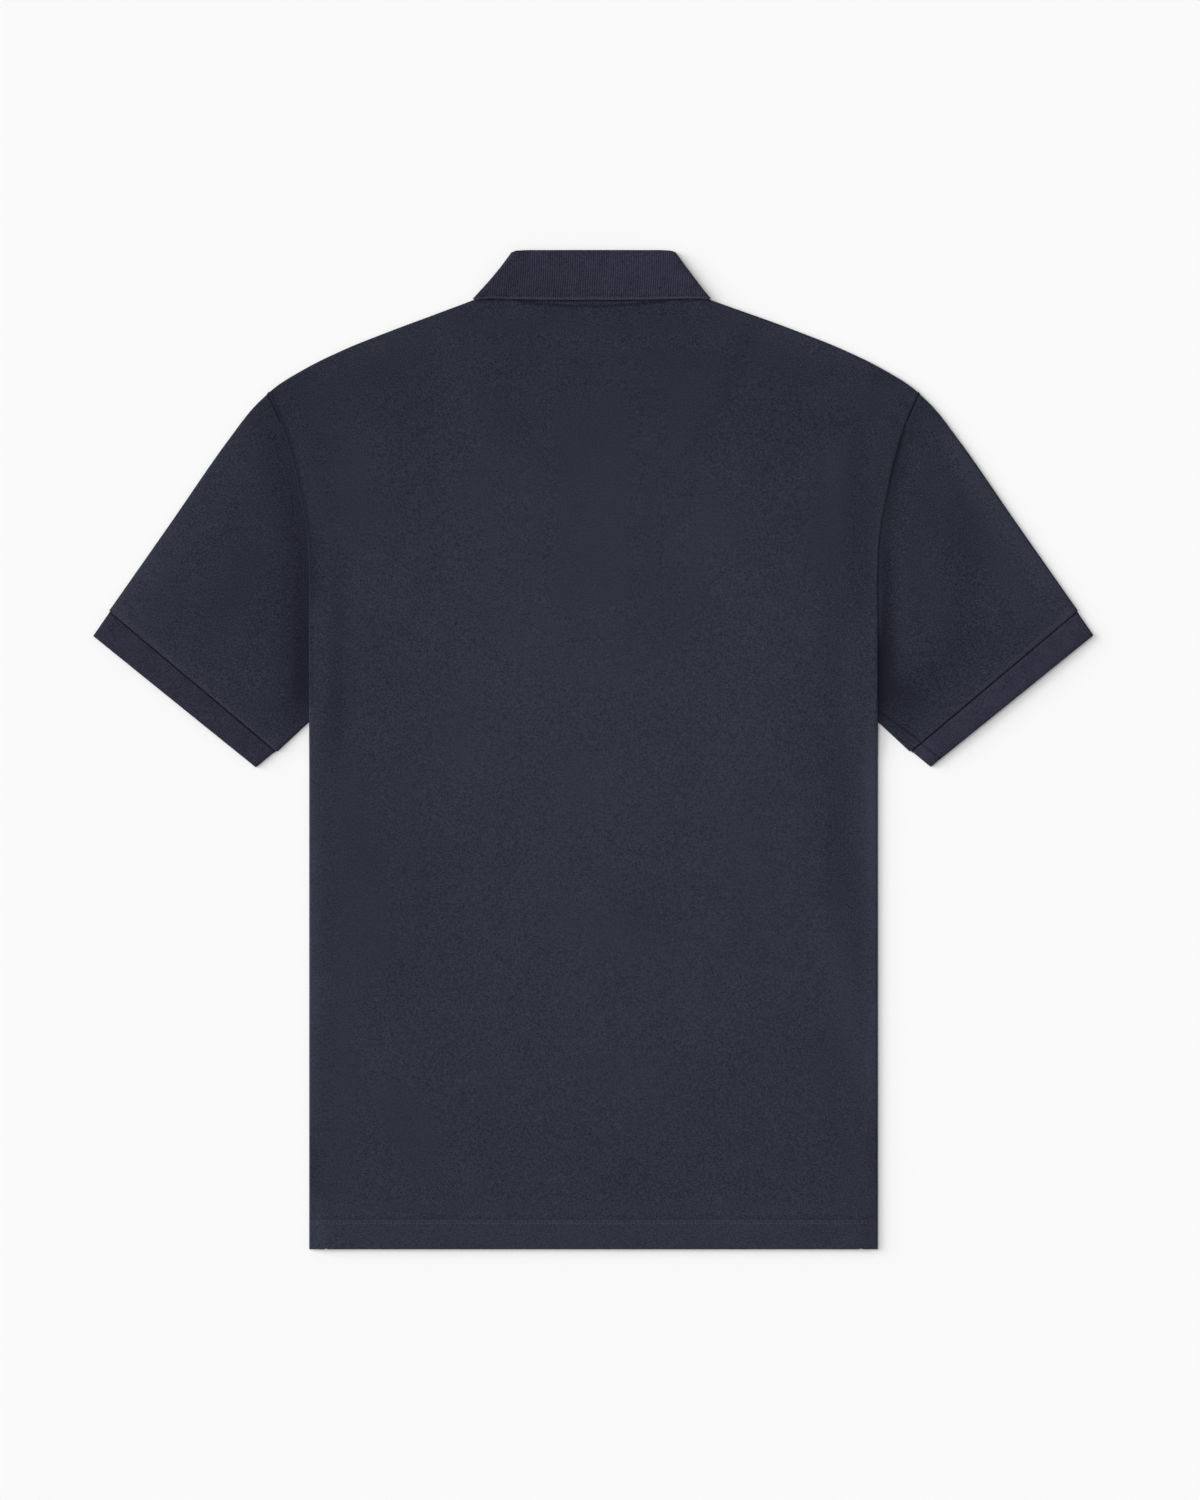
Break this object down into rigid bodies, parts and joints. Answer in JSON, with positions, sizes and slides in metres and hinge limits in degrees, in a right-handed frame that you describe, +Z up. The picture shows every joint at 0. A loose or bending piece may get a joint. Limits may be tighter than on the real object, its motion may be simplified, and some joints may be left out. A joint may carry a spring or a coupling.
{
  "type": "polo shirt laid flat",
  "caption": "Short-sleeved polo shirt with a folded rib collar, rib cuffs and a buttoned placket, laid flat on its front with its back up.",
  "frame": {"origin": "middle of the shirt's overall length and width, on the surface that it lies on", "axes": "+Z up out of the back, away from the surface; +Y from the hem towards the collar; +X towards the wearer's right sleeve"},
  "size_m": [0.7792, 0.78, 0.0063],
  "materials": {
    "back_panel": "matt washed cotton pique",
    "front_panel": "matt washed cotton pique",
    "sleeve_left": "matt washed cotton pique",
    "sleeve_right": "matt washed cotton pique",
    "cuff_left": "matt knitted cotton rib",
    "cuff_right": "matt knitted cotton rib",
    "collar": "matt knitted cotton rib",
    "placket_top": "matt washed cotton pique",
    "placket_under": "matt washed cotton pique",
    "button_1": "satin resin",
    "button_2": "satin resin"
  },
  "bodies": {
    "root": {"back_panel": "back_panel", "front_panel": "front_panel", "sleeve_left": "sleeve_left", "sleeve_right": "sleeve_right", "cuff_left": "cuff_left", "cuff_right": "cuff_right", "collar": "collar", "placket_top": "placket_top", "placket_under": "placket_under", "button_1": "button_1", "button_2": "button_2"}
  },
  "joints": []
}
